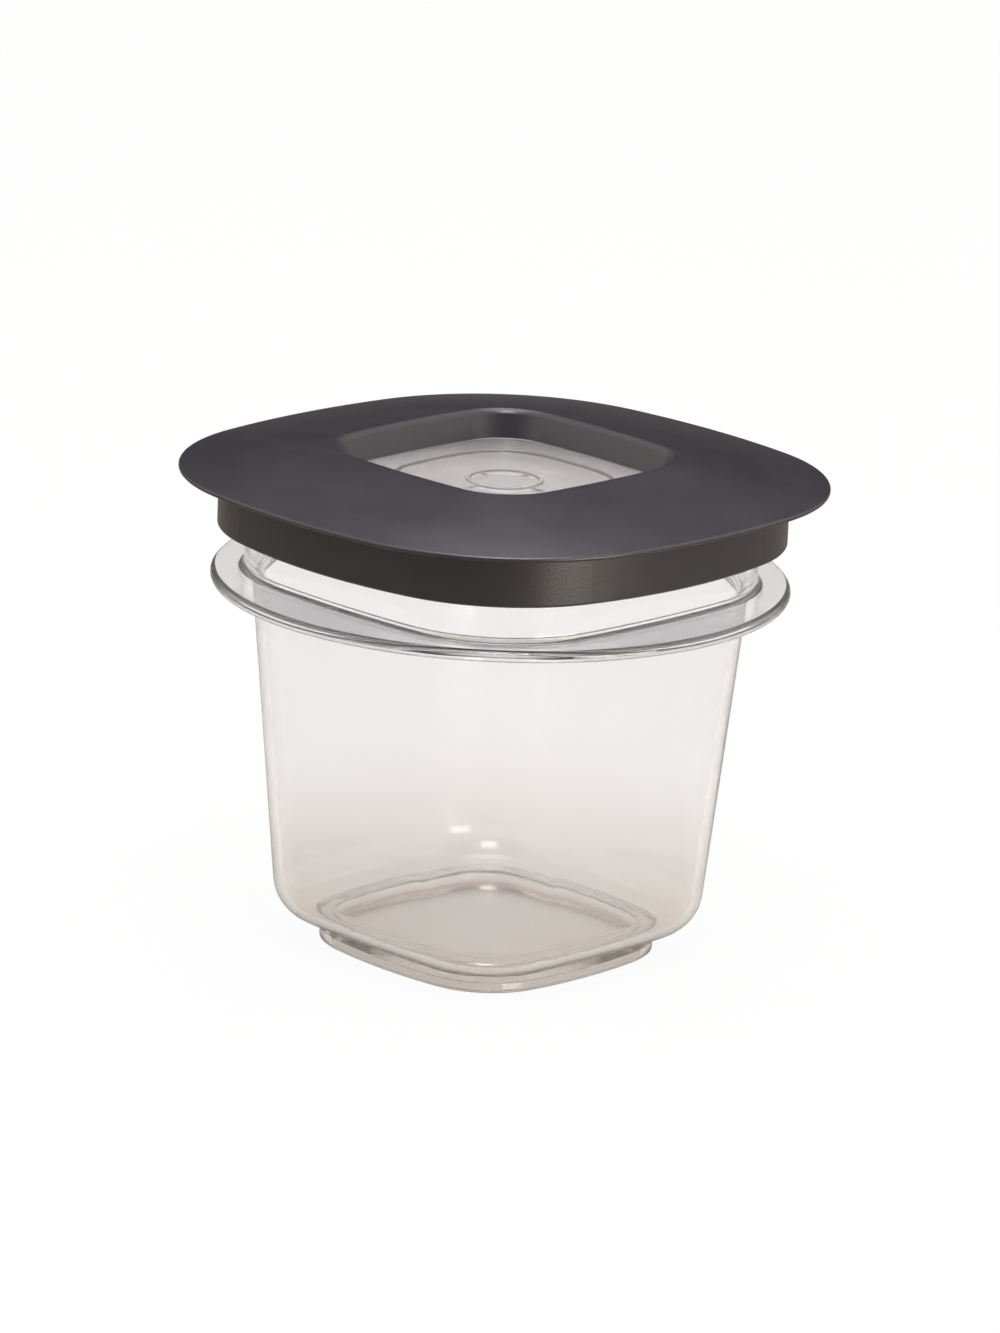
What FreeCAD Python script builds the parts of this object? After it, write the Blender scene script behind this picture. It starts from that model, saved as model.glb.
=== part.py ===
"""Small food keeper: a clear square-shouldered tub with a round grip flange, and a lift-off lid.

Everything is in millimetres. The origin is under the middle of the foot, +Z is up, and X and Y run
square to the sides. Every level outline is a soft square made of eight tangent arcs: four shallow
side arcs and four corner arcs. Growing such an outline by a distance adds that distance to its half
width and to both of its radii, so a wall keeps one thickness all the way round.
"""

import FreeCAD, Part
import math
import os
import Sketcher

SIZES = {
    # foot
    "foot_inset": 6.27,
    "foot_side_radius": 88.0,
    "foot_corner_radius": 14.6,
    "foot_height": 3.9,
    "foot_edge_radius": 0.6,
    "foot_rim": 2.6,
    "foot_wall": 3.4,
    "recess_depth": 2.4,
    "recess_radius": 0.6,
    # bowl, whose mouth is the neck's outline stepped in
    "wall": 1.9,
    "floor": 1.7,
    "bowl_height": 64.1,
    "bowl_step": 1.6,
    "bowl_draft": 5.6,
    "bowl_base_radius": 7.7,
    # grip flange
    "flange_width": 6.0,
    "flange_thickness": 2.2,
    "flange_edge_radius": 1.8,
    "root_radius": 1.2,
    "mouth_edge_radius": 0.7,
    # neck and rim
    "neck_half": 40.9,
    "neck_side_radius": 220.0,
    "neck_corner_radius": 25.4,
    "neck_height": 17.7,
    "rim_bead": 1.4,
    "rim_height": 2.4,
    "rim_edge_radius": 0.8,
    # fits between the lid and the tub
    "seat_clearance": 0.1,
    "slide_clearance": 0.2,
    # crown and brim of the lid
    "brim_reach": 6.75,
    "brim_side_radius": 138.0,
    "brim_corner_reach": 8.0,
    "brim_height": 11.0,
    "brim_thickness": 0.9,
    "brim_edge_radius": 0.4,
    "crown_wall": 1.6,
    "crown_lap": 1.5,
    "crown_rise": 4.45,
    "crown_bulge": 0.4,
    # skirt, catch and plug of the lid
    "skirt_reach": 6.25,
    "skirt_side_radius": 94.0,
    "skirt_corner_reach": 5.2,
    "skirt_depth": 10.2,
    "skirt_wall": 1.8,
    "skirt_edge_radius": 0.5,
    "catch_height": 1.6,
    "catch_gap": 0.4,
    "plug_gap": 0.7,
    "plug_wall": 1.8,
    "plug_depth": 7.0,
    # well and window
    "well_half": 25.5,
    "well_side_radius": 180.0,
    "well_corner_radius": 11.0,
    "well_depth": 5.35,
    "well_draft": 18.5,
    "well_wall": 1.2,
    "well_edge_radius": 1.2,
    "window_thickness": 1.8,
    "window_lap": 1.4,
    "window_fit": 0.05,
    "window_edge_radius": 0.3,
    "panel_inset": 7.7,
    "panel_side_radius": 70.0,
    "panel_corner_radius": 12.0,
    "panel_step": 0.5,
    "panel_edge_radius": 0.2,
    "ring_radius": 7.0,
    "ring_width": 0.8,
    "ring_height": 0.3,
    # seal
    "seal_height": 3.2,
    "seal_lift": 1.8,
    "seal_seat": 0.8,
    "seal_lip": 0.6,
    "seal_chamfer": 0.2,
}

NEAR = 0.02          # how close to an outline an edge has to lie to be picked by it
NEAR_BENT = 0.4      # the same where the edge bends up and down a little as it goes round
LEAST_CHANGE = 1e-6  # volume that a feature adds or takes away at the least

doc = FreeCAD.newDocument("keeper")
sheet = doc.addObject("Spreadsheet::Sheet", "Sizes")
for row, (alias, size) in enumerate(SIZES.items(), start=1):
    sheet.set(f"A{row}", alias)
    sheet.set(f"B{row}", str(size))
    sheet.setAlias(f"B{row}", alias)
doc.recompute()


def value(formula):
    """The number that a formula of sheet sizes gives now."""
    result = sheet.evalExpression(formula)
    return float(getattr(result, "Value", result))


BOWL_RUN_IN = "Sizes.bowl_height * tan(Sizes.bowl_draft)"
SKIRT_HALF = "Sizes.neck_half + Sizes.skirt_reach"
SKIRT_CORNER = "Sizes.neck_corner_radius + Sizes.skirt_corner_reach"

# half width, side radius and corner radius of each family of outlines
FAMILIES = {
    "foot": (f"Sizes.neck_half - Sizes.bowl_step - {BOWL_RUN_IN} - Sizes.foot_inset",
             "Sizes.foot_side_radius", "Sizes.foot_corner_radius"),
    "neck": ("Sizes.neck_half", "Sizes.neck_side_radius", "Sizes.neck_corner_radius"),
    "skirt": (SKIRT_HALF, "Sizes.skirt_side_radius", SKIRT_CORNER),
    "brim": (f"{SKIRT_HALF} + Sizes.brim_reach", "Sizes.brim_side_radius",
             f"{SKIRT_CORNER} + Sizes.brim_corner_reach"),
    "well": ("Sizes.well_half", "Sizes.well_side_radius", "Sizes.well_corner_radius"),
    "panel": ("Sizes.well_half - Sizes.panel_inset", "Sizes.panel_side_radius",
              "Sizes.panel_corner_radius"),
}


class Outline:
    """A soft square of one family, grown outwards by a formula."""

    def __init__(self, family, grow="0"):
        half, side_radius, corner_radius = FAMILIES[family]
        self.half = f"{half} + ({grow})"
        self.side_radius = f"{side_radius} + ({grow})"
        self.corner_radius = f"{corner_radius} + ({grow})"

    def numbers(self):
        """Side radius, corner radius, side-centre offset and corner-centre distance."""
        half, side, corner = value(self.half), value(self.side_radius), value(self.corner_radius)
        offset = side - half
        reach = side - corner
        centre = (math.sqrt(2 * reach**2 - offset**2) - offset) / 2
        return side, corner, offset, centre

    def diagonal(self):
        """Formula of the distance from the axis to the outermost point of a corner."""
        offset = f"(({self.side_radius}) - ({self.half}))"
        reach = f"(({self.side_radius}) - ({self.corner_radius}))"
        centre = f"(sqrt(2 * {reach} ^ 2 - {offset} ^ 2) - {offset}) / 2"
        return f"{centre} * sqrt(2) + ({self.corner_radius})"

    def distance(self, x, y):
        """How far outside the outline a point lies, negative inside."""
        side, corner, offset, centre = self.numbers()
        x, y = max(abs(x), abs(y)), min(abs(x), abs(y))
        if y * (centre + offset) <= centre * (x + offset):
            return math.hypot(x + offset, y) - side
        return math.hypot(x - centre, y - centre) - corner


class Round:
    """A plain circle about the axis."""

    def __init__(self, radius):
        self.radius = radius

    def distance(self, x, y):
        return math.hypot(x, y) - value(self.radius)


def new_body(label, height="0"):
    """An empty body that stands at a height above the ground."""
    body = doc.addObject("PartDesign::Body", label)
    body.Label = label
    body.setExpression("Placement.Base.z", height)
    return body


def new_sketch(body, name, plane, height="0"):
    """A sketch on one of the body's own planes, raised from it to a height."""
    sketch = body.newObject("Sketcher::SketchObject", name)
    support = next(f for f in body.Origin.OriginFeatures if f.Role == plane)
    sketch.AttachmentSupport = (support, [""])
    sketch.MapMode = "FlatFace"
    sketch.setExpression("AttachmentOffset.Base.z", height)
    return sketch


def drive(sketch, constraint, name, formula):
    """Adds a dimension to the sketch and binds it to the sheet."""
    index = sketch.addConstraint(constraint)
    sketch.renameConstraint(index, name)
    sketch.setExpression(f"Constraints.{name}", formula)


def draw_outline(sketch, outline, prefix):
    """Draws a soft square: eight arcs, tangent end to end, with its sizes bound to the sheet."""
    side, corner, offset, centre = outline.numbers()
    spread = math.atan2(centre, centre + offset)
    upright = FreeCAD.Vector(0, 0, 1)
    arcs = []
    for quarter in range(4):
        turn = quarter * math.pi / 2
        along = FreeCAD.Vector(math.cos(turn), math.sin(turn), 0)
        across = FreeCAD.Vector(-math.sin(turn), math.cos(turn), 0)
        side_circle = Part.Circle(along * -offset, upright, side)
        corner_circle = Part.Circle((along + across) * centre, upright, corner)
        arcs.append(Part.ArcOfCircle(side_circle, turn - spread, turn + spread))
        arcs.append(Part.ArcOfCircle(corner_circle, turn + spread, turn + math.pi / 2 - spread))
    first = sketch.addGeometry(arcs, False)[0]
    for step in range(8):
        this, following = first + step, first + (step + 1) % 8
        sketch.addConstraint(Sketcher.Constraint("Tangent", this, 2, following, 1))
    for quarter in range(4):
        side_arc, corner_arc = first + 2 * quarter, first + 2 * quarter + 1
        axis = -1 - quarter % 2
        sketch.addConstraint(Sketcher.Constraint("PointOnObject", side_arc, 3, axis))
        drive(sketch, Sketcher.Constraint("Distance", -1, 1, side_arc, 3, offset),
              f"{prefix}_offset_{quarter}", f"({outline.side_radius}) - ({outline.half})")
        if quarter:
            sketch.addConstraint(Sketcher.Constraint("Equal", first, side_arc))
            sketch.addConstraint(Sketcher.Constraint("Equal", first + 1, corner_arc))
    drive(sketch, Sketcher.Constraint("Radius", first, side), f"{prefix}_side", outline.side_radius)
    drive(sketch, Sketcher.Constraint("Radius", first + 1, corner), f"{prefix}_corner",
          outline.corner_radius)


def draw_circle(sketch, radius, prefix):
    """Draws a circle about the axis, with its radius bound to the sheet."""
    circle = Part.Circle(FreeCAD.Vector(0, 0, 0), FreeCAD.Vector(0, 0, 1), value(radius))
    index = sketch.addGeometry(circle, False)
    sketch.addConstraint(Sketcher.Constraint("Coincident", index, 3, -1, 1))
    drive(sketch, Sketcher.Constraint("Radius", index, value(radius)), f"{prefix}_radius", radius)


def level(body, name, shape, height, hole=None):
    """A level sketch of one outline or circle, with an optional second one inside it."""
    sketch = new_sketch(body, name, "XY_Plane", height)
    for prefix, form in (("outer", shape), ("inner", hole)):
        if isinstance(form, Round):
            draw_circle(sketch, form.radius, prefix)
        elif form is not None:
            draw_outline(sketch, form, prefix)
    return sketch


def upright(body, name, corners, arcs):
    """A sketch in the XZ plane: a closed run of edges between (x, z) formulas. Edges are straight,
    but for those that arcs gives, by the number of their first corner, a radius and a turn: 1 bends
    left on the way to the next corner, -1 bends right."""
    sketch = new_sketch(body, name, "XZ_Plane")
    points = [FreeCAD.Vector(value(x), value(z), 0) for x, z in corners]
    ends = []
    for index, start in enumerate(points):
        end = points[(index + 1) % len(points)]
        radius, turn = arcs.get(index, ("0", 1))
        if index in arcs:
            chord = end - start
            left = FreeCAD.Vector(-chord.y, chord.x, 0).normalize()
            reach = math.sqrt(value(radius) ** 2 - chord.Length**2 / 4)
            centre = (start + end) * 0.5 + left * (turn * reach)
            first, last = ((p - centre) for p in ((start, end) if turn > 0 else (end, start)))
            begin = math.atan2(first.y, first.x)
            sweep_angle = (math.atan2(last.y, last.x) - begin) % (2 * math.pi)
            circle = Part.Circle(centre, FreeCAD.Vector(0, 0, 1), value(radius))
            sketch.addGeometry(Part.ArcOfCircle(circle, begin, begin + sweep_angle), False)
        else:
            sketch.addGeometry(Part.LineSegment(start, end), False)
        ends.append((1, 2) if turn > 0 else (2, 1))
    for index, (x, z) in enumerate(corners):
        previous = (index - 1) % len(points)
        tip = ends[index][0]
        join = Sketcher.Constraint("Coincident", previous, ends[previous][1], index, tip)
        sketch.addConstraint(join)
        for way, far, prefix, formula in (("DistanceX", points[index].x, "x", x),
                                          ("DistanceY", points[index].y, "z", z)):
            drive(sketch, Sketcher.Constraint(way, -1, 1, index, tip, far), f"{prefix}_{index}", formula)
    for index, (radius, turn) in arcs.items():
        drive(sketch, Sketcher.Constraint("Radius", index, value(radius)), f"arc_{index}", radius)
    return sketch


def finish(body, feature):
    """Rebuilds the document and checks that the feature changed the solid."""
    before = feature.BaseFeature.Shape.Volume if feature.BaseFeature else 0.0
    doc.recompute()
    if not feature.isValid() or abs(feature.Shape.Volume - before) < LEAST_CHANGE:
        raise RuntimeError(f"{body.Label}: {feature.Name} failed or changed nothing")
    return feature


def extrude(body, kind, name, sketch, length, down=False, draft=None):
    """A Pad or Pocket of a level sketch, upwards unless down is set. Draft widens it as it goes."""
    feature = body.newObject(f"PartDesign::{kind}", name)
    feature.Profile = sketch
    feature.setExpression("Length", length)
    if draft:
        feature.setExpression("TaperAngle", draft)
    feature.Reversed = down if kind == "Pad" else not down
    return finish(body, feature)


def sweep(body, name, profile, path):
    """An AdditivePipe of an upright profile round a level outline."""
    feature = body.newObject("PartDesign::AdditivePipe", name)
    feature.Profile = profile
    feature.Spine = (path, [])
    return finish(body, feature)


def soften(body, name, radius, *places, slack=NEAR):
    """Fillets the edges that lie within slack of each (outline or circle, height) pair."""
    doc.recompute()
    base = body.Tip
    chosen = []
    for form, height in places:
        wanted = value(height)
        found = []
        for number, edge in enumerate(base.Shape.Edges, start=1):
            low, high = edge.BoundBox.ZMin, edge.BoundBox.ZMax
            middle = edge.valueAt((edge.FirstParameter + edge.LastParameter) / 2)
            flat = abs(low - wanted) < slack and abs(high - wanted) < slack
            if flat and abs(form.distance(middle.x, middle.y)) < slack:
                found.append(f"Edge{number}")
        if not found:
            raise RuntimeError(f"{body.Label}: {name} finds no edge at height {wanted}")
        chosen += found
    feature = body.newObject("PartDesign::Fillet", name)
    feature.Base = (base, chosen)
    feature.setExpression("Radius", radius)
    return finish(body, feature)


FLANGE_LOW = "Sizes.foot_height + Sizes.bowl_height"
FLANGE_HIGH = f"{FLANGE_LOW} + Sizes.flange_thickness"
RIM_TOP = f"{FLANGE_HIGH} + Sizes.neck_height"
LID_BASE = f"{RIM_TOP} + Sizes.seat_clearance - Sizes.skirt_depth"
NECK_INSIDE = Outline("neck", "-Sizes.wall")
RIM = Outline("neck", "Sizes.rim_bead")


def make_tub():
    """One clear moulding, about one wall thick everywhere: foot, bowl, flange, neck and rim."""
    tub = new_body("tub")
    floor_top = "Sizes.foot_height + Sizes.floor"
    foot = Outline("foot")
    neck = Outline("neck")
    bowl_mouth = Outline("neck", "-Sizes.bowl_step")
    bowl_base = Outline("neck", f"-Sizes.bowl_step - {BOWL_RUN_IN}")

    # the outside, from the bowl up and out
    extrude(tub, "Pad", "Bowl", level(tub, "BowlBase", bowl_base, "Sizes.foot_height"),
            "Sizes.bowl_height", draft="Sizes.bowl_draft")
    flange = Round(f"{neck.diagonal()} + Sizes.flange_width")
    extrude(tub, "Pad", "Flange", level(tub, "FlangeDisc", flange, FLANGE_LOW),
            "Sizes.flange_thickness")
    extrude(tub, "Pad", "Neck", level(tub, "NeckOutline", neck, FLANGE_HIGH), "Sizes.neck_height")
    extrude(tub, "Pad", "Rim", level(tub, "RimOutline", RIM, f"{RIM_TOP} - Sizes.rim_height"),
            "Sizes.rim_height")

    # the inside, from the mouth down
    extrude(tub, "Pocket", "NeckInside", level(tub, "NeckBore", NECK_INSIDE, RIM_TOP),
            "Sizes.neck_height", down=True)
    draft_out = "Sizes.flange_thickness * tan(Sizes.bowl_draft)"
    inside_mouth = Outline("neck", f"-Sizes.bowl_step - Sizes.wall + {draft_out}")
    inside_base = Outline("neck", "-Sizes.bowl_step - Sizes.wall"
                          " - (Sizes.bowl_height - Sizes.floor) * tan(Sizes.bowl_draft)")
    extrude(tub, "Pocket", "BowlInside", level(tub, "BowlBore", inside_mouth, FLANGE_HIGH),
            "Sizes.bowl_height + Sizes.flange_thickness - Sizes.floor", down=True,
            draft="-Sizes.bowl_draft")
    soften(tub, "InsideBaseRound", "Sizes.bowl_base_radius - Sizes.wall", (inside_base, floor_top))
    soften(tub, "BowlBaseRound", "Sizes.bowl_base_radius", (bowl_base, "Sizes.foot_height"))

    # the foot, with a recess in the floor over it; below, only its rim touches the ground
    extrude(tub, "Pad", "Foot", level(tub, "FootOutline", foot, "0"),
            "Sizes.foot_height + Sizes.floor / 2")
    recess = Outline("foot", "-Sizes.foot_wall")
    recess_low = f"{floor_top} - Sizes.recess_depth"
    extrude(tub, "Pocket", "Recess", level(tub, "RecessOutline", recess, floor_top),
            "Sizes.recess_depth", down=True)
    relief = Outline("foot", "-Sizes.foot_rim")
    extrude(tub, "Pocket", "FootRelief", level(tub, "ReliefOutline", relief, "0"),
            "Sizes.foot_height - Sizes.recess_depth")

    # softened edges
    soften(tub, "FlangeEdge", "Sizes.flange_edge_radius", (flange, FLANGE_HIGH))
    soften(tub, "StepRoots", "Sizes.root_radius", (neck, FLANGE_HIGH), (bowl_mouth, FLANGE_LOW))
    soften(tub, "MouthEdge", "Sizes.mouth_edge_radius", (inside_mouth, FLANGE_HIGH))
    soften(tub, "RimEdges", "Sizes.rim_edge_radius", (RIM, RIM_TOP), (NECK_INSIDE, RIM_TOP))
    soften(tub, "RecessEdges", "Sizes.recess_radius", (recess, floor_top), (recess, recess_low))
    soften(tub, "FootEdge", "Sizes.foot_edge_radius", (foot, "0"))
    return tub


# heights in the lid's own frame, from the bottom edge of the skirt
SEAT = "Sizes.skirt_depth"
CROWN_TOP = "Sizes.brim_height + Sizes.crown_rise"
WINDOW_TOP = f"{CROWN_TOP} - Sizes.well_depth"
WINDOW_LOW = f"{WINDOW_TOP} - Sizes.window_thickness"
WELL_IN = "Sizes.well_depth * tan(Sizes.well_draft)"
WINDOW_EDGE = f"Sizes.window_lap - {WELL_IN}"
PLUG_OUT = "-Sizes.wall - Sizes.plug_gap"
PLUG_LOW = f"{SEAT} - Sizes.plug_depth"
SEAL_LOW = f"{PLUG_LOW} + Sizes.seal_lift"

# the crown's profile runs from the brim's edge in to the well
CROWN_OUT = FAMILIES["brim"][0]
CROWN_IN = "Sizes.well_half - Sizes.crown_lap"
CROWN_RUN = f"({CROWN_OUT} - ({CROWN_IN}))"


def crown_middle(outline):
    """Height of the middle of the crown's thickness over the flat sides of an outline."""
    share = f"(({CROWN_OUT} - ({outline.half})) / {CROWN_RUN})"
    return (f"Sizes.brim_height - Sizes.brim_thickness / 2"
            f" + (Sizes.crown_rise - (Sizes.crown_wall - Sizes.brim_thickness) / 2) * {share}"
            f" + 4 * Sizes.crown_bulge * {share} * (1 - {share})")


def crown_bend(rise):
    """Radius of the arc that climbs a rise across the crown with the crown's bulge."""
    return f"({CROWN_RUN} ^ 2 + ({rise}) ^ 2) / (8 * Sizes.crown_bulge) + Sizes.crown_bulge / 2"


def make_lid_frame():
    """The dark moulding: crowned brim, skirt with its catch, plug wall and well round the window."""
    frame = new_body("lid_frame", LID_BASE)
    brim = Outline("brim")
    top_bend = crown_bend("Sizes.crown_rise")
    low_bend = crown_bend("Sizes.crown_rise - Sizes.crown_wall + Sizes.brim_thickness")
    profile = upright(frame, "CrownProfile", [
        (CROWN_OUT, "Sizes.brim_height"),
        (CROWN_IN, CROWN_TOP),
        (CROWN_IN, f"{CROWN_TOP} - Sizes.crown_wall"),
        (CROWN_OUT, "Sizes.brim_height - Sizes.brim_thickness")],
        {0: (top_bend, 1), 2: (low_bend, -1)})
    sweep(frame, "Crown", profile, level(frame, "BrimOutline", brim, "0"))
    soften(frame, "BrimEdges", "Sizes.brim_edge_radius", (brim, "Sizes.brim_height"),
           (brim, "Sizes.brim_height - Sizes.brim_thickness"))

    # skirt, with the catch that passes under the tub's rim
    skirt = Outline("skirt")
    skirt_middle = Outline("skirt", "-Sizes.skirt_wall / 2")
    skirt_inside = Outline("skirt", "-Sizes.skirt_wall")
    extrude(frame, "Pad", "Skirt", level(frame, "SkirtRing", skirt, "0", skirt_inside),
            crown_middle(skirt_middle))
    soften(frame, "SkirtEdges", "Sizes.skirt_edge_radius", (skirt, "0"), (skirt_inside, "0"))
    catch_inside = Outline("neck", "Sizes.rim_bead + Sizes.slide_clearance")
    catch_top = f"{SEAT} - Sizes.seat_clearance - Sizes.rim_height - Sizes.catch_gap"
    extrude(frame, "Pad", "Catch",
            level(frame, "CatchRing", skirt_middle, f"{catch_top} - Sizes.catch_height", catch_inside),
            "Sizes.catch_height")

    # plug wall with the seal's groove, and the flat land that the rim meets
    plug = Outline("neck", PLUG_OUT)
    plug_inside = Outline("neck", f"{PLUG_OUT} - Sizes.plug_wall")
    extrude(frame, "Pad", "Plug", level(frame, "PlugRing", plug, PLUG_LOW, plug_inside),
            f"{crown_middle(plug)} - ({PLUG_LOW})")
    extrude(frame, "Pad", "Land", level(frame, "LandRing", skirt_middle, SEAT, plug_inside),
            f"{crown_middle(skirt_middle)} - ({SEAT})")
    groove = Outline("neck", f"{PLUG_OUT} - Sizes.seal_seat")
    groove_clear = Outline("neck", "-Sizes.wall")
    extrude(frame, "Pocket", "SealGroove",
            level(frame, "GrooveRing", groove_clear, SEAL_LOW, groove), "Sizes.seal_height")

    # well round the window, which is let in from below
    well_outside = Outline("well", f"{WINDOW_EDGE} + Sizes.well_wall")
    extrude(frame, "Pad", "WellWall", level(frame, "WellOutside", well_outside, WINDOW_LOW),
            f"{CROWN_TOP} - Sizes.crown_wall / 2 - ({WINDOW_LOW})")
    well = Outline("well")
    extrude(frame, "Pocket", "Well", level(frame, "WellMouth", well, CROWN_TOP),
            "Sizes.well_depth", down=True, draft="-Sizes.well_draft")
    rebate = Outline("well", WINDOW_EDGE)
    extrude(frame, "Pocket", "WindowRebate", level(frame, "RebateOutline", rebate, WINDOW_LOW),
            "Sizes.window_thickness")
    soften(frame, "WellEdge", "Sizes.well_edge_radius", (well, CROWN_TOP), slack=NEAR_BENT)
    return frame


def make_lid_window():
    """The clear window let into the bottom of the well: a panel a step lower, and a low ring."""
    window = new_body("lid_window", LID_BASE)
    plate = Outline("well", f"{WINDOW_EDGE} - Sizes.window_fit")
    panel = Outline("panel")
    panel_top = f"{WINDOW_TOP} - Sizes.panel_step"
    extrude(window, "Pad", "Plate", level(window, "PlateOutline", plate, WINDOW_LOW),
            "Sizes.window_thickness")
    extrude(window, "Pocket", "Panel", level(window, "PanelOutline", panel, WINDOW_TOP),
            "Sizes.panel_step", down=True)
    soften(window, "PanelEdges", "Sizes.panel_edge_radius", (panel, WINDOW_TOP),
           (panel, panel_top))
    soften(window, "PlateEdge", "Sizes.window_edge_radius", (plate, WINDOW_LOW))
    ring = Round("Sizes.ring_radius")
    ring_inside = Round("Sizes.ring_radius - Sizes.ring_width")
    extrude(window, "Pad", "Ring", level(window, "RingOutline", ring, panel_top, ring_inside),
            "Sizes.ring_height")
    return window


def make_lid_seal():
    """The soft ring in the plug's groove, with a round lip near its bottom and near its top."""
    seal = new_body("lid_seal", LID_BASE)
    back = f"Sizes.neck_half + {PLUG_OUT} - Sizes.seal_seat"
    face = f"Sizes.neck_half + {PLUG_OUT}"
    high = f"{SEAL_LOW} + Sizes.seal_height"
    lip = "2 * Sizes.seal_lip"
    reach = "(Sizes.plug_gap - Sizes.slide_clearance)"
    nose = f"(Sizes.seal_lip ^ 2 + {reach} ^ 2) / (2 * {reach})"
    profile = upright(seal, "SealProfile", [
        (back, SEAL_LOW),
        (face, SEAL_LOW),
        (face, f"{SEAL_LOW} + Sizes.seal_chamfer"),
        (face, f"{SEAL_LOW} + Sizes.seal_chamfer + {lip}"),
        (face, f"{high} - Sizes.seal_chamfer - {lip}"),
        (face, f"{high} - Sizes.seal_chamfer"),
        (face, high),
        (back, high)],
        {2: (nose, 1), 4: (nose, 1)})
    sweep(seal, "Seal", profile, level(seal, "SealPath", Outline("neck"), "0"))
    return seal


SUBPARTS = [make_tub(), make_lid_frame(), make_lid_window(), make_lid_seal()]

doc.recompute()
for item in doc.Objects:
    if "Invalid" in item.State or "Error" in item.State:
        raise RuntimeError(f"{item.Name} failed: {item.State}")
os.makedirs("parts", exist_ok=True)
for body in SUBPARTS:
    if body.Shape.isNull() or not body.Shape.isValid() or len(body.Shape.Solids) != 1:
        raise RuntimeError(f"{body.Label} is not one valid solid")
    body.Shape.exportStep(f"parts/{body.Label}.step")
    box = body.Shape.BoundBox
    print(f"{body.Label}: {body.Shape.Volume / 1000:.1f} cm3, z {box.ZMin:.2f} to {box.ZMax:.2f}")
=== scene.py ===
"""The looks of a clear food keeper with a dark lid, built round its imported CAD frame.

Lengths are in millimetres up to where a mesh is made from them, and in metres on the stage.
"""

import math

import bmesh
import bpy
from mathutils import Matrix, Vector


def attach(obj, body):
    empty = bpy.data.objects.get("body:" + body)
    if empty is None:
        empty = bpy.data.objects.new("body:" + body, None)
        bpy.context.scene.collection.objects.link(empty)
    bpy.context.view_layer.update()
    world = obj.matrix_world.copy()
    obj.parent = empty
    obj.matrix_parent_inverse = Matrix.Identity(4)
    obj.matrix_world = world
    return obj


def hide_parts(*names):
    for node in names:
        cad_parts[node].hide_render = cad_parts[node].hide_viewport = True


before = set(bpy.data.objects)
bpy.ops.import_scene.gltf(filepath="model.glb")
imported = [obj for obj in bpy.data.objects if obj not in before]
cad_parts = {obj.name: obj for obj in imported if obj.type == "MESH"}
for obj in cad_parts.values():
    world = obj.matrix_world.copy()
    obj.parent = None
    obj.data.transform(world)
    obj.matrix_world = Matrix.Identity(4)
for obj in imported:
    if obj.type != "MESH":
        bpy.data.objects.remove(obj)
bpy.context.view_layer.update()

MM = 0.001

# ---------------------------------------------------------------- outlines
NECK_HALF = 40.9
BOWL_STEP = 1.6
BOWL_HEIGHT = 64.1
BOWL_DRAFT = math.tan(math.radians(5.6))  # run outwards for each millimetre of height
FOOT_INSET = 6.27
WELL_HALF = 25.5
WELL_DEPTH = 5.35
WELL_DRAFT = math.tan(math.radians(18.5))  # the same for the well, which narrows downwards
PANEL_INSET = 7.7

# half width, side radius and corner radius of each soft square
FAMILIES = {
    "foot": (NECK_HALF - BOWL_STEP - BOWL_HEIGHT * BOWL_DRAFT - FOOT_INSET, 88.0, 14.6),
    "neck": (NECK_HALF, 220.0, 25.4),
    "well": (WELL_HALF, 180.0, 11.0),
    "panel": (WELL_HALF - PANEL_INSET, 70.0, 12.0),
}
SIDE_STEPS = 20
CORNER_STEPS = 24


def layout(family):
    """Side-centre offset, corner-centre coordinate and half spread of a side arc."""
    half, side, corner = FAMILIES[family]
    offset = side - half
    reach = side - corner
    centre = (math.sqrt(2 * reach**2 - offset**2) - offset) / 2
    return offset, centre, math.atan2(centre, centre + offset)


def directions(family):
    """(normal angle, quarter, on a corner) of every point round an outline."""
    spread = layout(family)[2]
    found = []
    for quarter in range(4):
        turn = quarter * math.pi / 2
        for k in range(SIDE_STEPS):
            found.append((turn - spread + 2 * spread * k / SIDE_STEPS, quarter, False))
        for k in range(CORNER_STEPS):
            share = k / CORNER_STEPS
            found.append((turn + spread + (math.pi / 2 - 2 * spread) * share, quarter, True))
    return found


def soft_square(family, grow):
    """Points (x, y) of an outline grown outwards by a distance."""
    _, side, corner = FAMILIES[family]
    offset, centre, _ = layout(family)
    points = []
    for angle, quarter, on_corner in directions(family):
        turn = quarter * math.pi / 2
        along = Vector((math.cos(turn), math.sin(turn)))
        across = Vector((-math.sin(turn), math.cos(turn)))
        out = Vector((math.cos(angle), math.sin(angle)))
        if on_corner:
            points.append((along + across) * centre + out * (corner + grow))
        else:
            points.append(along * -offset + out * (side + grow))
    return points


def circle(radius):
    """Points (x, y) of a circle, one for each point of an outline."""
    return [Vector((math.cos(a), math.sin(a))) * radius for a, _, _ in directions("neck")]


def outside_by(family, point):
    """How far a point lies outside an outline."""
    _, side, corner = FAMILIES[family]
    offset, centre, _ = layout(family)
    x = max(abs(point.x), abs(point.y))
    y = min(abs(point.x), abs(point.y))
    if y * (centre + offset) <= centre * (x + offset):
        return math.hypot(x + offset, y) - side
    return math.hypot(x - centre, y - centre) - corner


# ---------------------------------------------------------------- profiles and rings
# A profile is a list of points (distance outwards, height).
FAR = 30.0  # length of a profile's leg where only its direction counts
NORMAL_WEIGHT = 80  # above 50, the wide faces steer the smooth normals


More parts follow.
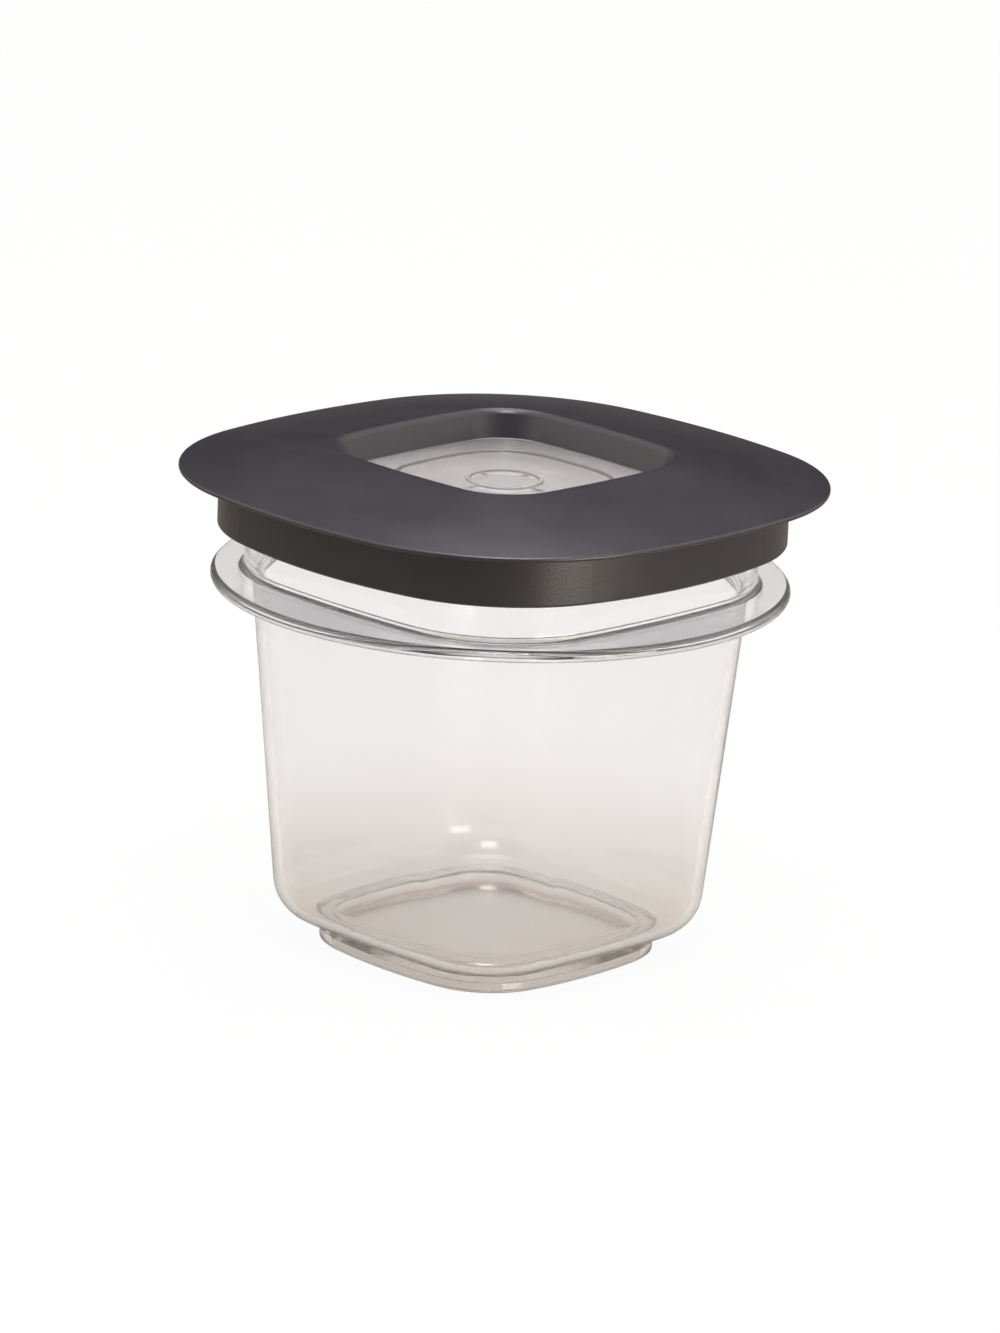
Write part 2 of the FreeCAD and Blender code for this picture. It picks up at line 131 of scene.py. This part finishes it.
def round_corner(a, corner, b, radius, steps=5):
    """Points of a fillet between the legs a-corner and corner-b of a profile."""
    a, corner, b = Vector(a), Vector(corner), Vector(b)
    u, v = (a - corner).normalized(), (b - corner).normalized()
    half = u.angle(v) / 2
    reach = radius / math.tan(half)
    centre = corner + (u + v).normalized() * (radius / math.sin(half))
    first, last = corner + u * reach - centre, corner + v * reach - centre
    swing = first.angle_signed(last)
    points = []
    for k in range(steps + 1):
        t = -swing * k / steps
        c, s = math.cos(t), math.sin(t)
        points.append(centre + Vector((first.x * c - first.y * s, first.x * s + first.y * c)))
    return points


def ring(family, grow, height):
    """One ring of (x, y, z) points on a grown outline."""
    return [(p.x, p.y, height) for p in soft_square(family, grow)]


def round_ring(radius, height):
    """One ring of (x, y, z) points on a circle."""
    return [(p.x, p.y, height) for p in circle(radius)]


def swept(family, profile):
    """Rings that carry a profile round an outline."""
    return [ring(family, p.x, p.y) for p in profile]


def turned(profile, radius=0):
    """Rings that carry a profile round a circle."""
    return [round_ring(radius + p.x, p.y) for p in profile]


def lathe(name, rows):
    """A closed mesh of rings, all with equally many points, in the order in which they join."""
    mesh = bpy.data.meshes.new(name)
    build = bmesh.new()
    rings = [[build.verts.new(Vector(p) * MM) for p in row] for row in rows]
    build.faces.new(list(reversed(rings[0])))
    build.faces.new(rings[-1])
    count = len(rows[0])
    for low, high in zip(rings, rings[1:]):
        for k in range(count):
            n = (k + 1) % count
            build.faces.new((low[k], low[n], high[n], high[k]))
    bmesh.ops.recalc_face_normals(build, faces=build.faces)
    for face in build.faces:
        face.smooth = True
    build.to_mesh(mesh)
    build.free()
    thing = bpy.data.objects.new(name, mesh)
    bpy.context.scene.collection.objects.link(thing)
    even = thing.modifiers.new("even_normals", "WEIGHTED_NORMAL")
    even.keep_sharp = False
    even.weight = NORMAL_WEIGHT
    return thing


# ---------------------------------------------------------------- clear pieces
def build_tub():
    """The tub as one closed wall: under the foot, up the outside, over the rim and down inside."""
    foot_relief, foot_rim, foot_edge, foot_wall = 1.5, 2.6, 0.6, 3.4
    base, base_round, floor_thickness, wall = 3.9, 7.7, 1.7, 1.9
    flange_low, flange_high, flange_width = 68.0, 70.2, 6.0
    flange_round_below, flange_round_above, root_round = 1.0, 1.15, 1.2
    rim_low, rim_top, rim_out, rim_round, rim_root = 85.5, 87.9, 1.4, 0.8, 0.1
    ledge_root, mouth_round, recess_round, bevel = 0.2, 0.7, 0.6, 0.15
    joint_round, joint_steps = 0.35, 3
    foot_covers = 2  # points of the underside that the foot and its joint take in

    mouth_out = -BOWL_STEP
    wall_in = -wall
    flange_radius = layout("neck")[1] * math.sqrt(2) + FAMILIES["neck"][2] + flange_width
    base_out = mouth_out - (flange_low - base) * BOWL_DRAFT
    floor_top = base + floor_thickness
    recess_low = foot_relief + floor_thickness
    base_in = mouth_out - wall - (flange_low - floor_top) * BOWL_DRAFT
    mouth_in = mouth_out - wall + (flange_high - flange_low) * BOWL_DRAFT
    underside = round_corner((base_out - FAR, base), (base_out, base), (mouth_out, flange_low),
                             base_round, steps=12)

    # the hollow below the foot, and the rim that stands on the ground
    rows = [ring("foot", -foot_rim - bevel, foot_relief),
            ring("foot", -foot_rim, foot_relief - bevel),
            ring("foot", -foot_rim, bevel),
            ring("foot", -foot_rim + bevel, 0)]
    rows += swept("foot", round_corner((-foot_rim, 0), (0, 0), (0, base), foot_edge))

    # the line where the foot meets the rounded underside of the bowl
    joint = []
    for p in soft_square("foot", 0):
        run = max(0.0, outside_by("neck", p) - underside[0].x)
        joint.append((p.x, p.y, base + base_round - math.sqrt(base_round**2 - run**2)))
    rows.append([(x, y, z - joint_round) for x, y, z in joint])
    for k in range(1, joint_steps + 1):
        turn = math.radians(90) * k / joint_steps
        out = joint_round * (1 - math.cos(turn))
        up = joint_round * (math.sin(turn) - 1)
        grown = soft_square("foot", out)
        rows.append([(p.x, p.y, z + up) for p, (_, _, z) in zip(grown, joint)])

    # the outside of the bowl, from where its underside has left the foot
    rows += swept("neck", underside[foot_covers:])
    rows += swept("neck", round_corner((base_out, base), (mouth_out, flange_low),
                                       (FAR, flange_low), root_round, steps=6))

    # the round grip flange
    rows += turned(round_corner((-FAR, flange_low), (0, flange_low), (0, flange_high),
                                flange_round_below, steps=6), flange_radius)
    rows += turned(round_corner((0, flange_low), (0, flange_high), (-FAR, flange_high),
                                flange_round_above, steps=8), flange_radius)

    # the neck and the bead of its rim
    rows += swept("neck", round_corner((FAR, flange_high), (0, flange_high), (0, rim_low),
                                       root_round, steps=6))
    rows += [ring("neck", 0, rim_low - rim_root),
             ring("neck", rim_root, rim_low),
             ring("neck", rim_out - bevel, rim_low),
             ring("neck", rim_out, rim_low + bevel)]
    rows += swept("neck", round_corner((rim_out, rim_low), (rim_out, rim_top), (0, rim_top),
                                       rim_round))
    rows += swept("neck", round_corner((rim_out, rim_top), (wall_in, rim_top),
                                       (wall_in, flange_high), rim_round))

    # down inside: the ledge at the mouth, the bowl, its floor and the recess in it
    rows += [ring("neck", wall_in, flange_high + ledge_root),
             ring("neck", wall_in - ledge_root, flange_high)]
    rows += swept("neck", round_corner((wall_in, flange_high), (mouth_in, flange_high),
                                       (base_in, floor_top), mouth_round))
    rows += swept("neck", round_corner((mouth_in, flange_high), (base_in, floor_top),
                                       (base_in - FAR, floor_top), base_round - wall, steps=12))
    rows += swept("foot", round_corner((FAR, floor_top), (-foot_wall, floor_top),
                                       (-foot_wall, recess_low), recess_round, steps=4))
    rows += swept("foot", round_corner((-foot_wall, floor_top), (-foot_wall, recess_low),
                                       (-FAR, recess_low), recess_round, steps=4))
    return lathe("tub_wall", rows)


def build_window():
    """The window: flat below, with a panel one step lower on top and a low ring in its middle."""
    low, high, lap, fit = 86.1, 87.9, 1.4, 0.05
    edge_round, top_edge_round = 0.3, 0.08
    panel_step, panel_round = 0.5, 0.24
    ring_out, ring_in, ring_height, ring_round = 7.0, 6.2, 0.3, 0.12
    # radii of the plain rings that divide the flat faces
    flat_below, flat_outside, flat_inside = (0.5, 9, 15), 11, (4, 0.5)

    edge = lap - WELL_DEPTH * WELL_DRAFT - fit
    panel_top = high - panel_step
    ring_top = panel_top + ring_height

    rows = [round_ring(radius, low) for radius in flat_below]
    rows += swept("well", round_corner((-FAR, low), (edge, low), (edge, high), edge_round))
    rows += swept("well", round_corner((edge, low), (edge, high), (-FAR, high),
                                       top_edge_round, steps=2))
    rows += swept("panel", round_corner((FAR, high), (0, high), (0, panel_top),
                                        panel_round, steps=4))
    rows += swept("panel", round_corner((0, high), (0, panel_top), (-FAR, panel_top),
                                        panel_round, steps=4))
    rows += [round_ring(flat_outside, panel_top)]
    rows += turned(round_corner((FAR, panel_top), (0, panel_top), (0, ring_top),
                                ring_round, steps=3), ring_out)
    rows += turned(round_corner((ring_out, panel_top), (ring_out, ring_top),
                                (ring_in, ring_top), ring_round, steps=3))
    rows += turned(round_corner((ring_out, ring_top), (ring_in, ring_top),
                                (ring_in, panel_top), ring_round, steps=3))
    rows += turned(round_corner((ring_in, ring_top), (ring_in, panel_top),
                                (0, panel_top), ring_round, steps=3))
    rows += [round_ring(radius, panel_top) for radius in flat_inside]
    return lathe("window_plate", rows)


# ---------------------------------------------------------------- shader nodes
def noise(nodes, links, coords, scale, detail):
    texture = nodes.new("ShaderNodeTexNoise")
    texture.inputs["Scale"].default_value = scale
    texture.inputs["Detail"].default_value = detail
    links.new(coords, texture.inputs["Vector"])
    return texture.outputs["Fac"]


def graded(nodes, links, value, low, high, at_low, at_high):
    """A value mapped between two ends and held at them."""
    mapped = nodes.new("ShaderNodeMapRange")
    mapped.inputs["From Min"].default_value = low
    mapped.inputs["From Max"].default_value = high
    mapped.inputs["To Min"].default_value = at_low
    mapped.inputs["To Max"].default_value = at_high
    links.new(value, mapped.inputs["Value"])
    return mapped.outputs["Result"]


def scaled(nodes, links, value, factor):
    product = nodes.new("ShaderNodeMath")
    product.operation = "MULTIPLY"
    product.inputs[1].default_value = factor
    links.new(value, product.inputs[0])
    return product.outputs[0]


def larger(nodes, links, one, other):
    either = nodes.new("ShaderNodeMath")
    either.operation = "MAXIMUM"
    links.new(one, either.inputs[0])
    links.new(other, either.inputs[1])
    return either.outputs[0]


def either_colour(nodes, links, choice, at_none, at_full):
    mixed = nodes.new("ShaderNodeMix")
    mixed.data_type = "RGBA"
    links.new(choice, mixed.inputs["Factor"])
    mixed.inputs["A"].default_value = (*at_none, 1)
    mixed.inputs["B"].default_value = (*at_full, 1)
    return mixed.outputs["Result"]


def bumped(nodes, links, height, strength, distance):
    bump = nodes.new("ShaderNodeBump")
    bump.inputs["Strength"].default_value = strength
    bump.inputs["Distance"].default_value = distance
    links.new(height, bump.inputs["Height"])
    return bump.outputs["Normal"]


# ---------------------------------------------------------------- materials
PLASTIC_IOR = 1.5
PLASTIC_DEPTH_COLOUR = (0.85, 0.8, 0.76, 1)
TINT_AND_SHADE_DRIFT_MM = 4
SMUDGE_SCALE, SMUDGE_DETAIL = 60, 4
SMUDGE_LOW, SMUDGE_HIGH, SMUDGE_ROUGHENS = 0.35, 0.75, 1.7
WAVE_SCALE, WAVE_DETAIL, WAVE_STRENGTH, WAVE_DEPTH = 45, 1, 0.02, 0.001
MOTTLE_SCALE, MOTTLE_DETAIL, MOTTLE_LOW, MOTTLE_HIGH = 90, 6, 0.3, 0.7
SHEEN_SWING = 0.05
GRAIN_SCALE, GRAIN_DETAIL, GRAIN_STRENGTH, GRAIN_DEPTH = 2600, 2, 0.25, 0.0001


def material(name):
    made = bpy.data.materials.new(name)
    made.use_nodes = True
    return made, made.node_tree.nodes, made.node_tree.links


def clear_plastic(name, tints_and_shade, clarity, roughness, density):
    """Clear moulding: coloured by height, which carries the plastic's tint and, low on the tub,
    painted shade; with uneven gloss and a barely wavy surface.

    tints lists heights in millimetres, from the lowest up, each with its colour.
    """
    made, nodes, links = material(name)
    shader = nodes["Principled BSDF"]
    shader.inputs["Transmission Weight"].default_value = clarity
    shader.inputs["IOR"].default_value = PLASTIC_IOR
    coords = nodes.new("ShaderNodeTexCoord").outputs["Object"]
    smudge = noise(nodes, links, coords, SMUDGE_SCALE, SMUDGE_DETAIL)

    # the height, a little uneven, picks the colour: the plastic's tint, and painted shade where
    # the ramp holds it
    place = nodes.new("ShaderNodeSeparateXYZ")
    links.new(coords, place.inputs["Vector"])
    uneven = nodes.new("ShaderNodeMath")
    uneven.operation = "MULTIPLY_ADD"
    uneven.inputs[1].default_value = TINT_AND_SHADE_DRIFT_MM * MM
    links.new(smudge, uneven.inputs[0])
    links.new(place.outputs["Z"], uneven.inputs[2])
    lowest, highest = tints_and_shade[0][0], tints_and_shade[-1][0]
    height = graded(nodes, links, uneven.outputs[0], lowest * MM, highest * MM, 0, 1)
    tone = nodes.new("ShaderNodeValToRGB")
    while len(tone.color_ramp.elements) < len(tints_and_shade):
        tone.color_ramp.elements.new(0.5)
    for stop, (level, tint) in zip(tone.color_ramp.elements, tints_and_shade):
        stop.position = (level - lowest) / (highest - lowest)
        stop.color = (*tint, 1)
    links.new(height, tone.inputs["Fac"])
    links.new(tone.outputs["Color"], shader.inputs["Base Color"])

    gloss = graded(nodes, links, smudge, SMUDGE_LOW, SMUDGE_HIGH,
                   roughness, roughness * SMUDGE_ROUGHENS)
    links.new(gloss, shader.inputs["Roughness"])
    waves = noise(nodes, links, coords, WAVE_SCALE, WAVE_DETAIL)
    links.new(bumped(nodes, links, waves, WAVE_STRENGTH, WAVE_DEPTH), shader.inputs["Normal"])

    depth = nodes.new("ShaderNodeVolumeAbsorption")
    depth.inputs["Color"].default_value = PLASTIC_DEPTH_COLOUR
    depth.inputs["Density"].default_value = density
    links.new(depth.outputs["Volume"], nodes["Material Output"].inputs["Volume"])
    return made


def matt_plastic(name, dark, light, roughness, gloss):
    """Fine-textured moulding: grain in the bump, faint mottling and an uneven sheen."""
    made, nodes, links = material(name)
    shader = nodes["Principled BSDF"]
    shader.inputs["Specular IOR Level"].default_value = gloss
    coords = nodes.new("ShaderNodeTexCoord").outputs["Object"]
    mottle = noise(nodes, links, coords, MOTTLE_SCALE, MOTTLE_DETAIL)
    tone = nodes.new("ShaderNodeValToRGB")
    tone.color_ramp.elements[0].position = MOTTLE_LOW
    tone.color_ramp.elements[0].color = (*dark, 1)
    tone.color_ramp.elements[1].position = MOTTLE_HIGH
    tone.color_ramp.elements[1].color = (*light, 1)
    links.new(mottle, tone.inputs["Fac"])
    links.new(tone.outputs["Color"], shader.inputs["Base Color"])
    sheen = graded(nodes, links, mottle, 0, 1, roughness - SHEEN_SWING, roughness + SHEEN_SWING)
    links.new(sheen, shader.inputs["Roughness"])
    grain = noise(nodes, links, coords, GRAIN_SCALE, GRAIN_DETAIL)
    links.new(bumped(nodes, links, grain, GRAIN_STRENGTH, GRAIN_DEPTH), shader.inputs["Normal"])
    return made


def wear(node_name, finish):
    """Gives a CAD node one material."""
    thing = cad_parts[node_name]
    thing.data.materials.clear()
    thing.data.materials.append(finish)


# Tub colour by height: the upper stops are the plastic's faint tint, while the darker, warmer
# stops near the bottom are painted shade and painted warm light.
TUB_TINTS_AND_PAINTED_SHADE = [
    (2, (0.79, 0.72, 0.665)),
    (6, (0.895, 0.85, 0.805)),
    (16, (0.93, 0.91, 0.895)),
    (38, (0.942, 0.945, 0.96)),
    (90, (0.943, 0.948, 0.963)),
]
WINDOW_TINTS = [
    (86, (0.85, 0.835, 0.835)),
    (90, (0.87, 0.855, 0.855)),
]
tub_finish = clear_plastic("tub_clear", TUB_TINTS_AND_PAINTED_SHADE, clarity=0.97, roughness=0.04, density=10)
window_finish = clear_plastic("window_clear", WINDOW_TINTS, clarity=0.87, roughness=0.09,
                              density=10)
frame_finish = matt_plastic("frame_dark", dark=(0.0285, 0.0262, 0.0365),
                            light=(0.0335, 0.0312, 0.043), roughness=0.3, gloss=0.7)
seal_finish = matt_plastic("seal_soft", dark=(0.6, 0.6, 0.58), light=(0.66, 0.66, 0.64),
                           roughness=0.6, gloss=0.4)

tub = build_tub()
tub.data.materials.append(tub_finish)
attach(tub, "tub")
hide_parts("tub")
window = build_window()
window.data.materials.append(window_finish)
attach(window, "lid")
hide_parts("lid_window")
wear("lid_frame", frame_finish)
wear("lid_seal", seal_finish)

# ---------------------------------------------------------------- floor
FLOOR_SIZE = 6
FLOOR_DROP_MM = 0.05  # keeps the floor clear of the foot's flat rim
PAPER_ROUGHNESS = 0.7
PAPER_LIT = (0.2, 0.18, 0.15)
PAPER_SEEN = (0.83, 0.825, 0.82)
GLOW_TO_CAMERA, GLOW_THROUGH_PLASTIC, GLOW_TO_GLOSS = 0.95, 0.55, 0.08

bpy.ops.mesh.primitive_plane_add(size=FLOOR_SIZE, location=(0, 0, -FLOOR_DROP_MM * MM))
floor = bpy.context.object
floor.name = "floor"


def white_paper(name):
    """Paper that looks white and keeps a shadow, but throws little light up onto the object."""
    made, nodes, links = material(name)
    paper = nodes["Principled BSDF"]
    paper.inputs["Roughness"].default_value = PAPER_ROUGHNESS
    path = nodes.new("ShaderNodeLightPath").outputs
    seen = larger(nodes, links, path["Is Camera Ray"], path["Is Transmission Ray"])
    colour = either_colour(nodes, links, seen, PAPER_LIT, PAPER_SEEN)
    links.new(colour, paper.inputs["Base Color"])

    # a share of white glow for each kind of ray
    to_camera = scaled(nodes, links, path["Is Camera Ray"], GLOW_TO_CAMERA)
    through = scaled(nodes, links, path["Is Transmission Ray"], GLOW_THROUGH_PLASTIC)
    to_gloss = scaled(nodes, links, path["Is Glossy Ray"], GLOW_TO_GLOSS)
    share = larger(nodes, links, larger(nodes, links, to_camera, through), to_gloss)
    glow = nodes.new("ShaderNodeEmission")
    glow.inputs["Strength"].default_value = 1
    mix = nodes.new("ShaderNodeMixShader")
    links.new(share, mix.inputs[0])
    links.new(paper.outputs["BSDF"], mix.inputs[1])
    links.new(glow.outputs["Emission"], mix.inputs[2])
    links.new(mix.outputs["Shader"], nodes["Material Output"].inputs["Surface"])
    return made


floor.data.materials.append(white_paper("floor_white"))

# ---------------------------------------------------------------- world and lamps
FRONT = (math.sqrt(0.5), -math.sqrt(0.5), 0)
SIDE_EDGE, FRONT_EDGE = 0.4, 0.9  # how far a direction points to the front or the back
SIDE_GLOW, FRONT_GLOW = 1.12, 0.03
WARM_WHITE, COOL_WHITE, PLAIN_WHITE = (1, 0.92, 0.82), (0.97, 0.96, 1), (1, 1, 1)
LID_SPOT = (0.02, -0.02, 0.09)


def build_world():
    """A studio that is bright overhead and at both sides, and dark before and behind the object.

    The camera sees it plain white, directly and through clear plastic.
    """
    world = bpy.data.worlds.new("studio")
    bpy.context.scene.world = world
    world.use_nodes = True
    nodes, links = world.node_tree.nodes, world.node_tree.links
    way = nodes.new("ShaderNodeTexCoord")
    frontness = nodes.new("ShaderNodeVectorMath")
    frontness.operation = "DOT_PRODUCT"
    links.new(way.outputs["Generated"], frontness.inputs[0])
    frontness.inputs[1].default_value = FRONT
    off_side = nodes.new("ShaderNodeMath")
    off_side.operation = "ABSOLUTE"
    links.new(frontness.outputs["Value"], off_side.inputs[0])
    room = graded(nodes, links, off_side.outputs[0], SIDE_EDGE, FRONT_EDGE, SIDE_GLOW, FRONT_GLOW)

    path = nodes.new("ShaderNodeLightPath").outputs
    white = larger(nodes, links, path["Is Camera Ray"], path["Is Transmission Ray"])
    strength = nodes.new("ShaderNodeMix")
    links.new(white, strength.inputs["Factor"])
    links.new(room, strength.inputs["A"])
    strength.inputs["B"].default_value = 1
    sky = nodes["Background"]
    links.new(strength.outputs["Result"], sky.inputs["Strength"])
    links.new(either_colour(nodes, links, white, WARM_WHITE, PLAIN_WHITE), sky.inputs["Color"])


def softbox(name, place, target, size, power, tint):
    """A rectangular area lamp that faces a target."""
    lamp = bpy.data.lights.new(name, "AREA")
    lamp.shape = "RECTANGLE"
    lamp.size, lamp.size_y = size
    lamp.energy = power
    lamp.color = tint
    thing = bpy.data.objects.new(name, lamp)
    bpy.context.scene.collection.objects.link(thing)
    thing.location = place
    thing.rotation_mode = "QUATERNION"
    thing.rotation_quaternion = (Vector(target) - Vector(place)).to_track_quat("-Z", "Y")


build_world()
softbox("overhead", place=(0, 0, 1), target=(0, 0, 0), size=(0.6, 0.6), power=3.1,
        tint=(0.97, 0.95, 1))
softbox("key", place=(0.29, -0.29, 0.88), target=LID_SPOT, size=(0.28, 0.28), power=3.2,
        tint=COOL_WHITE)
softbox("rear", place=(-0.36, 0.36, 0.82), target=LID_SPOT, size=(0.25, 0.25), power=0.7,
        tint=COOL_WHITE)
softbox("side", place=(0.6, 0, 0.08), target=(0, 0, 0.08), size=(0.36, 0.2), power=1.95,
        tint=(1, 0.9, 0.76))

# light trapped in the thick clear edges needs many turns to get out
cycles = bpy.context.scene.cycles
cycles.max_bounces, cycles.glossy_bounces, cycles.transmission_bounces = 40, 32, 40

# ---------------------------------------------------------------- camera
AZIMUTH, ELEVATION, ROLL = math.radians(45), math.radians(16.06), math.radians(2.36)
SHIFT_MM = Vector((-2.65, 50.33, 1345.7))  # from the camera to the origin: right, down, ahead
FOCAL_PX, LONG_SIDE_PX, SENSOR = 7333, 1333, 36
CLIP_NEAR, CLIP_FAR = 0.05, 50

away = Vector((math.sin(AZIMUTH) * math.cos(ELEVATION),
               -math.cos(AZIMUTH) * math.cos(ELEVATION),
               math.sin(ELEVATION)))
right = Vector((math.cos(AZIMUTH), math.sin(AZIMUTH), 0))
up = away.cross(right)
level = Matrix((right, -up, -away))
rolled = Matrix.Rotation(ROLL, 3, "Z") @ level
lens = bpy.data.cameras.new("photo_camera")
lens.sensor_width = SENSOR
lens.lens = FOCAL_PX * SENSOR / LONG_SIDE_PX
lens.clip_start, lens.clip_end = CLIP_NEAR, CLIP_FAR
camera = bpy.data.objects.new("photo_camera", lens)
bpy.context.scene.collection.objects.link(camera)
facing = Matrix((rolled[0], -rolled[1], -rolled[2])).transposed()
camera.matrix_world = Matrix.Translation(rolled.transposed() @ -SHIFT_MM * MM) @ facing.to_4x4()
bpy.context.scene.camera = camera
bpy.context.scene.view_settings.view_transform = "Standard"

bpy.context.view_layer.update()
